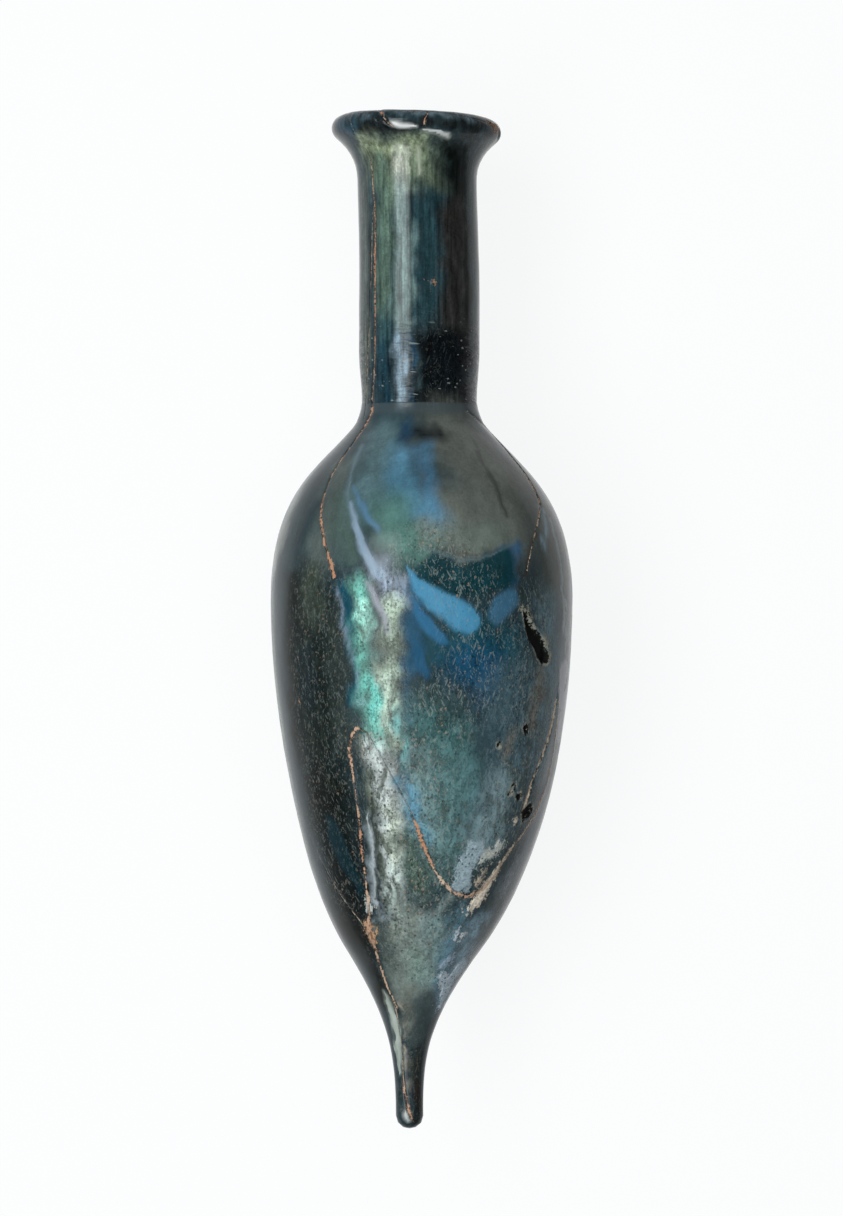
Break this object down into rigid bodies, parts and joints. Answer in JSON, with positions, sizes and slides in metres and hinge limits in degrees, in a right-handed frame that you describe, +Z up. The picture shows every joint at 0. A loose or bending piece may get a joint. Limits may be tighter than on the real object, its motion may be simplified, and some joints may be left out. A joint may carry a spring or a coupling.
{
  "type": "glass perfume flask",
  "caption": "Ancient blown glass perfume flask with a rolled lip, a long neck, an egg-shaped belly and a drawn-out solid tail, lying on its side.",
  "frame": {"origin": "middle of the flask's outline seen from above, on the surface that it lies on", "axes": "+Y along the flask's axis towards the mouth, +Z up from the flat spot under the belly"},
  "size_m": [0.0418, 0.1402, 0.0412],
  "materials": {
    "weathered_glass": "dark blue-green translucent glass, glossy, with matt weathering and iridescence"
  },
  "bodies": {
    "root": {"flask": "weathered_glass"}
  },
  "joints": []
}
